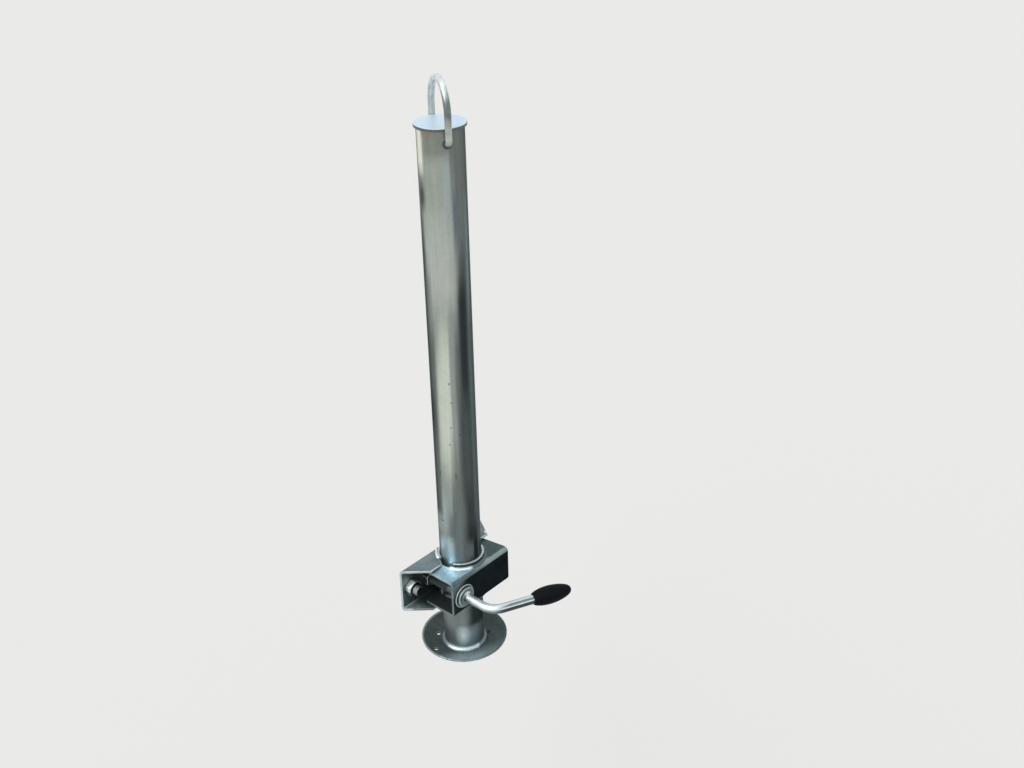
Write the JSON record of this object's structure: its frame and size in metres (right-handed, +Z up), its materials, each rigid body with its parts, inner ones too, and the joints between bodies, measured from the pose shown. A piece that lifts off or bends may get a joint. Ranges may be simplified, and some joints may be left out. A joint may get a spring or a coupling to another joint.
{
  "type": "trailer prop stand with clamp holder",
  "caption": "Trailer prop stand: a round tubular leg with a dished foot and a lifting bail, sliding in a bolted clamp bracket with a lever screw.",
  "frame": {"origin": "on the bracket's back face, level with the leg's axis and midway up the bracket", "axes": "+X away from the beam that carries the bracket, +Y along the bracket, +Z up along the leg"},
  "size_m": [0.1767, 0.1348, 0.689],
  "materials": {
    "galvanised_sheet": "satin galvanised zinc on folded sheet",
    "galvanised_tube": "satin galvanised zinc with long pale and dark streaks",
    "weld": "galvanised over a ripple weld",
    "bright_zinc": "bright zinc plating",
    "end_cap": "satin galvanised zinc",
    "black_grip": "matte black moulded plastic"
  },
  "bodies": {
    "holder": {"mounting_bracket": "galvanised_sheet", "clamp_jaw": "galvanised_sheet", "clamp_shell": "galvanised_sheet", "shell_weld_top": "weld", "shell_weld_bottom": "weld", "near_cheek": "galvanised_sheet", "far_cheek": "galvanised_sheet", "hinge_pin": "galvanised_sheet", "screw_nut": "bright_zinc"},
    "leg": {"leg_tube": "galvanised_tube", "end_cap": "end_cap", "bail": "bright_zinc", "foot_plate": "galvanised_sheet", "foot_weld": "weld"},
    "lever": {"lever_rod": "bright_zinc", "thrust_washer": "bright_zinc", "lever_collar": "bright_zinc", "lever_grip": "black_grip"}
  },
  "joints": [
    {"name": "leg_slide", "type": "slide", "parent": "holder", "child": "leg", "axis": [0, 0, 1], "range_m": [-0.485, 0.058]},
    {"name": "lever_turn", "type": "hinge", "parent": "holder", "child": "lever", "pos_m": [0, -0.032, 0], "axis": [1, 0, 0], "continuous": true}
  ]
}
